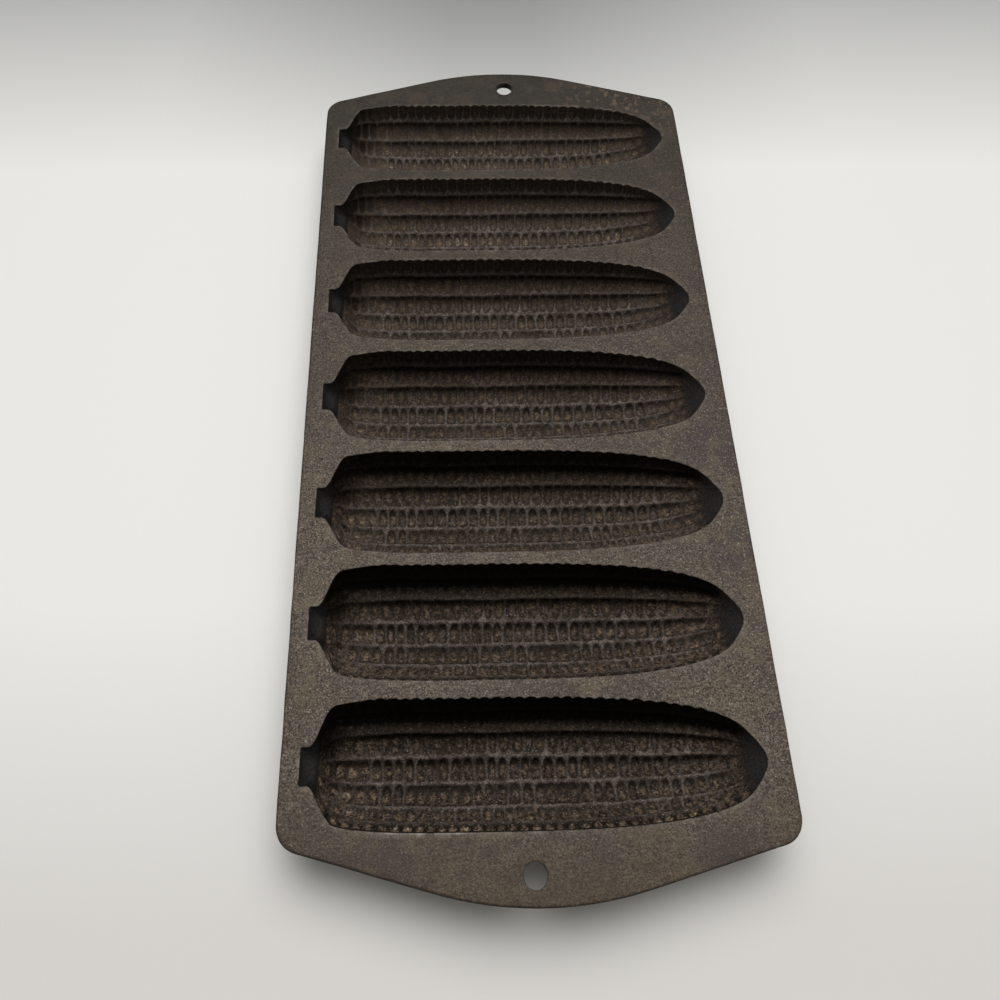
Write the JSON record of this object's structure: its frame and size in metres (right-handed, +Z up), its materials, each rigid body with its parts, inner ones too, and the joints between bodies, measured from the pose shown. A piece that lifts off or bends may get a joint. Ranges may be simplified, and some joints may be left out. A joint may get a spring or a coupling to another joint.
{
  "type": "corn stick pan",
  "caption": "Cast iron baking pan: a flat deck with a row of ear-of-corn shaped moulds and an arched tab with a hanging hole at each end.",
  "frame": {"origin": "on the surface that the pan stands on, below the middle of the deck", "axes": "+X towards the tips of the ears, +Y along the row of moulds towards the rear tab, +Z up"},
  "size_m": [0.146, 0.3312, 0.0199],
  "materials": {
    "cast_iron": "seasoned sand casting, dull brown-grey deck and darker crusted cavities"
  },
  "bodies": {
    "root": {"deck_plate": "cast_iron", "corn_mould_1": "cast_iron", "corn_mould_2": "cast_iron", "corn_mould_3": "cast_iron", "corn_mould_4": "cast_iron", "corn_mould_5": "cast_iron", "corn_mould_6": "cast_iron", "corn_mould_7": "cast_iron", "hanging_tab_rear": "cast_iron", "hanging_tab_front": "cast_iron"}
  },
  "joints": []
}
